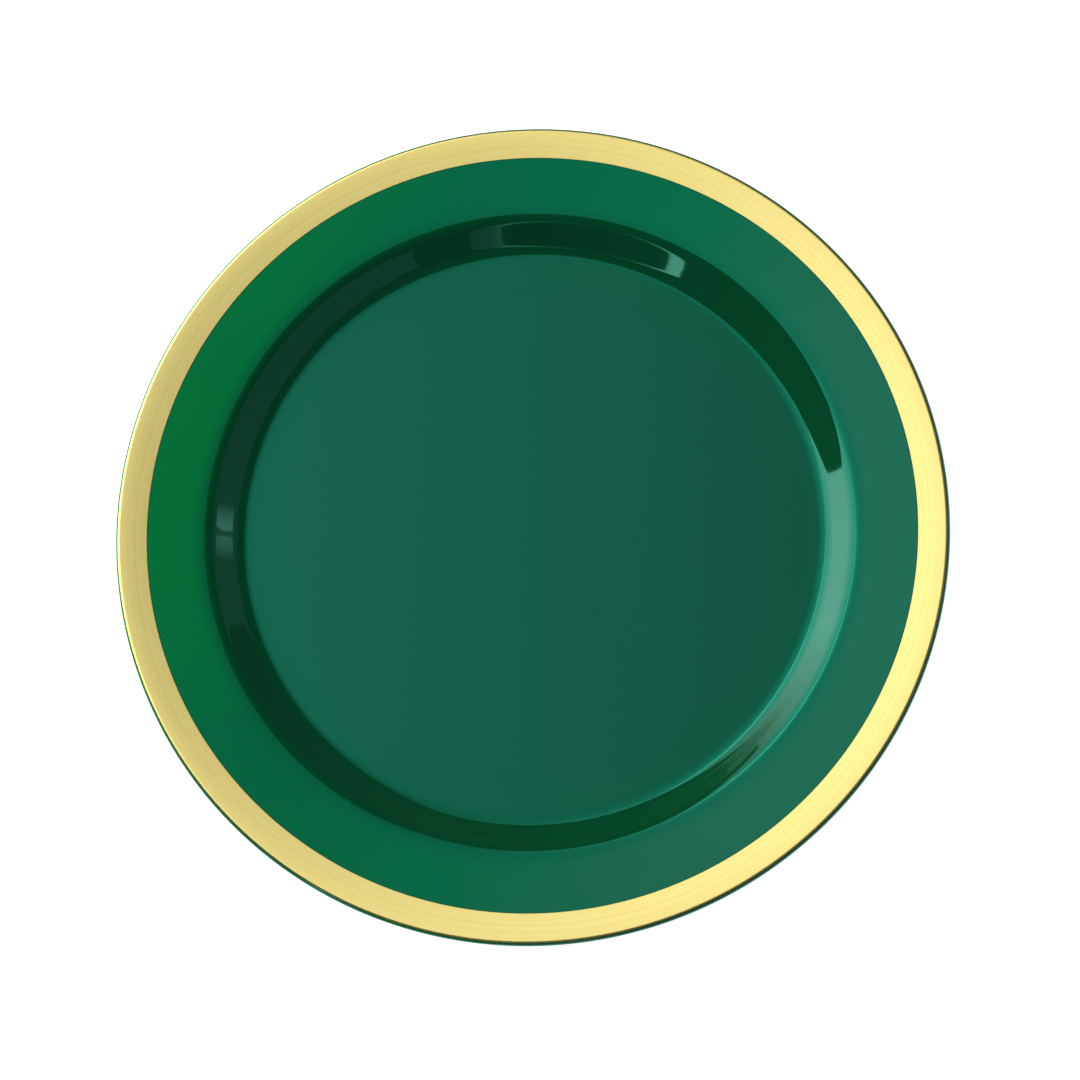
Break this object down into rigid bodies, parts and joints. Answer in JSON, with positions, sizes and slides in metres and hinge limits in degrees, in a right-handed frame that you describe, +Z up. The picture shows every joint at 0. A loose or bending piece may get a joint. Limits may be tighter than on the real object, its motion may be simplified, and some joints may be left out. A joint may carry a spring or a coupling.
{
  "type": "dinner plate",
  "caption": "Round china dinner plate with a flat well, short sloping wall, wide gently rising flange, gold band along the edge and a foot ring underneath.",
  "frame": {"origin": "centre of the circle that the foot ring rests on, in the resting plane", "axes": "+Z up along the plate's axis of revolution; X and Y are any two directions in the resting plane"},
  "size_m": [0.267, 0.267, 0.0189],
  "materials": {
    "bare_china": "matte",
    "green_glaze": "gloss",
    "gold": "satin"
  },
  "bodies": {
    "root": {"porcelain_body": "bare_china", "green_glaze": "green_glaze", "foot_well_glaze": "green_glaze", "gold_band": "gold"}
  },
  "joints": []
}
